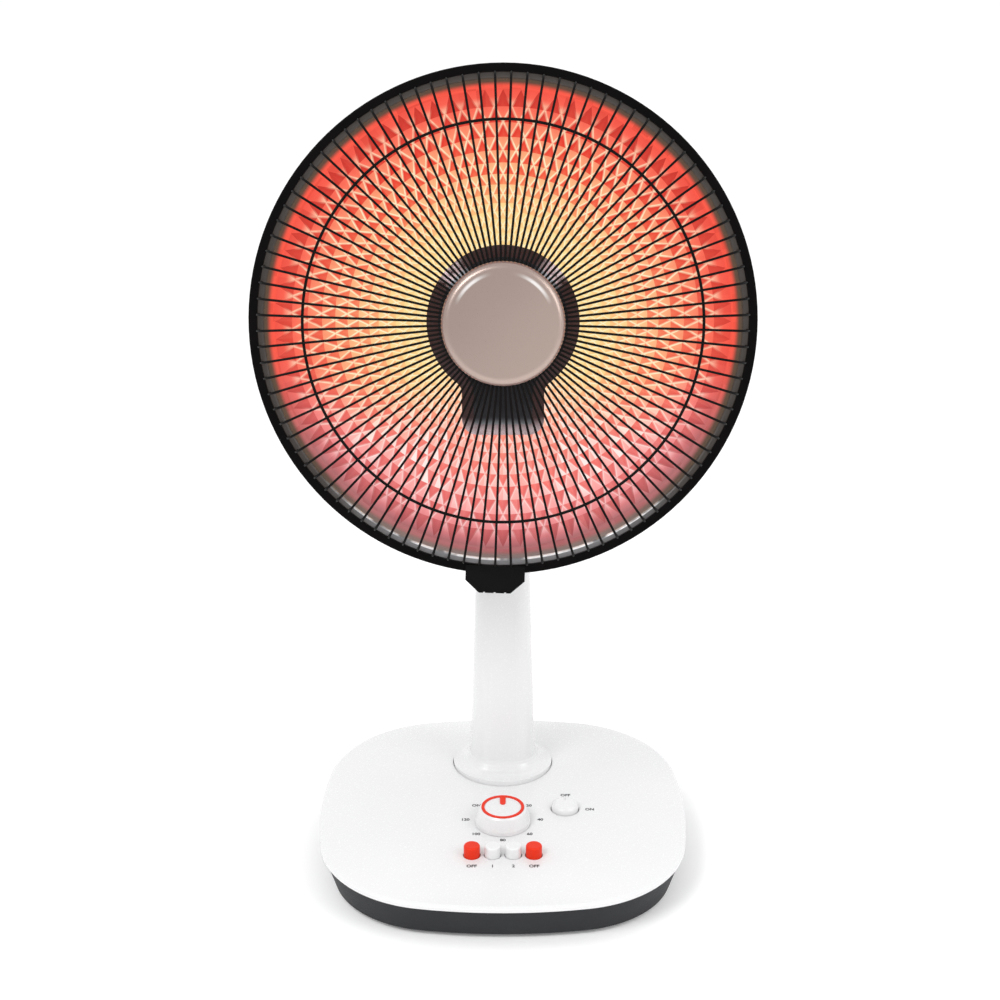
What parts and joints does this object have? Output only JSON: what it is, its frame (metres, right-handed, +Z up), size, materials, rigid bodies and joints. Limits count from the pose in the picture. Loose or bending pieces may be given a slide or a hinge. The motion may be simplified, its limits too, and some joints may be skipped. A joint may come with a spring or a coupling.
{
  "type": "carbon heater",
  "caption": "Dish-shaped carbon heater with a wire guard, on a tapered post that swings and tilts above a wedge base with a timer dial, a selector and push buttons.",
  "frame": {"origin": "on the ground under the middle of the base", "axes": "+Z up, the head faces -Y, +X to the right seen from the front"},
  "size_m": [0.38, 0.2999, 0.6544],
  "materials": {
    "white_plastic": "glossy white moulding",
    "grey_plastic": "finely grained dark grey moulding",
    "black_plastic": "fine-grained black moulding",
    "black_paint": "gloss black enamel",
    "wire_paint": "gloss black coating on steel wire",
    "hub_silver": "satin warm silver",
    "dish_metal": "bright embossed aluminium",
    "mirror_steel": "dark mirror polish",
    "quartz": "clear quartz",
    "carbon": "carbon fibre rope, glowing when on",
    "porcelain": "unglazed white ceramic",
    "zinc_steel": "zinc plated",
    "screw_steel": "zinc plated",
    "red_plastic": "glossy orange red moulding",
    "inner_plastic": "plain engineering plastic",
    "black_rubber": "soft rubber",
    "lead_sleeve": "glass-fibre sleeve"
  },
  "bodies": {
    "base": {"base_pan": "grey_plastic", "base_cover": "white_plastic", "rubber_feet": "black_rubber", "base_screws": "screw_steel", "ballast_plates": "zinc_steel", "cord_bush": "black_rubber", "terminal_block": "inner_plastic", "slide_ring": "inner_plastic", "motor": "zinc_steel", "inner_screws": "screw_steel", "tip_switch": "inner_plastic", "timer": "inner_plastic", "selector_switch": "inner_plastic", "key_switch": "inner_plastic"},
    "crank": {"crank": "inner_plastic"},
    "mast": {"drive_plate": "zinc_steel", "post_shell": "white_plastic", "post_rear_cover": "white_plastic", "post_screws": "screw_steel", "mast_screws": "screw_steel", "tilt_yoke": "zinc_steel", "tilt_bolt": "zinc_steel", "tilt_nut": "zinc_steel", "friction_washers": "inner_plastic"},
    "head": {"tilt_lug": "black_plastic", "head_screws": "screw_steel", "rear_shell": "black_plastic", "backing_plate": "zinc_steel", "rear_box": "black_plastic", "thermal_cutout": "inner_plastic", "dish": "dish_metal", "dish_spacer": "zinc_steel", "lamp_tube": "quartz", "filament": "carbon", "lamp_sockets": "porcelain", "lamp_bracket": "zinc_steel", "lamp_clamp": "zinc_steel", "lead_bushes": "porcelain", "lamp_leads": "lead_sleeve", "shield": "mirror_steel", "shield_stays": "zinc_steel", "trim_hoop": "black_paint", "hoop_clasp": "black_plastic", "clasp_screw": "screw_steel", "guard_wires": "wire_paint", "guard_rim": "wire_paint", "hub_cap": "hub_silver", "hub_plate": "zinc_steel", "hub_screws": "screw_steel"},
    "timer_dial": {"timer_knob": "white_plastic", "knob_ring": "red_plastic", "timer_shaft": "screw_steel"},
    "selector": {"selector_knob": "white_plastic"},
    "tip_foot": {"tip_plunger": "inner_plastic"},
    "button_off_left_key": {"button_off_left": "red_plastic"},
    "button_low_key": {"button_low": "white_plastic"},
    "button_high_key": {"button_high": "white_plastic"},
    "button_off_right_key": {"button_off_right": "red_plastic"}
  },
  "joints": [
    {"name": "swing", "type": "hinge", "parent": "base", "child": "mast", "pos_m": [0, 0.06, 0.048], "axis": [0, 0, 1], "range_deg": [-40, 40]},
    {"name": "crank_turn", "type": "hinge", "parent": "base", "child": "crank", "pos_m": [0, 0.032, 0.034], "axis": [0, 0, 1], "range_deg": [-90, 90]},
    {"name": "tilt", "type": "hinge", "parent": "mast", "child": "head", "pos_m": [0, 0.06, 0.387], "axis": [-1, 0, 0], "range_deg": [-13.1, 16.9]},
    {"name": "timer_turn", "type": "hinge", "parent": "base", "child": "timer_dial", "pos_m": [0, -0.03945, 0.04643], "axis": [0, -0.04, 0.9992], "range_deg": [-315, 0]},
    {"name": "selector_turn", "type": "hinge", "parent": "base", "child": "selector", "pos_m": [0.0517, -0.01846, 0.04727], "axis": [0, -0.04, 0.9992], "range_deg": [-90, 0]},
    {"name": "button_off_left_press", "type": "slide", "parent": "base", "child": "button_off_left_key", "axis": [0, 0.04, -0.9992], "range_m": [0, 0.004], "stiffness_N_per_m": 400},
    {"name": "button_low_press", "type": "slide", "parent": "base", "child": "button_low_key", "axis": [0, 0.04, -0.9992], "range_m": [0, 0.004], "stiffness_N_per_m": 400},
    {"name": "button_high_press", "type": "slide", "parent": "base", "child": "button_high_key", "axis": [0, 0.04, -0.9992], "range_m": [0, 0.004], "stiffness_N_per_m": 400},
    {"name": "button_off_right_press", "type": "slide", "parent": "base", "child": "button_off_right_key", "axis": [0, 0.04, -0.9992], "range_m": [0, 0.004], "stiffness_N_per_m": 400},
    {"name": "tip_drop", "type": "slide", "parent": "base", "child": "tip_foot", "axis": [0, 0, -1], "range_m": [0, 0.006], "stiffness_N_per_m": 150, "springref_m": 0.008}
  ],
  "couplings": [
    {"joint": "crank_turn", "follows": "swing", "ratio": 2.25}
  ]
}
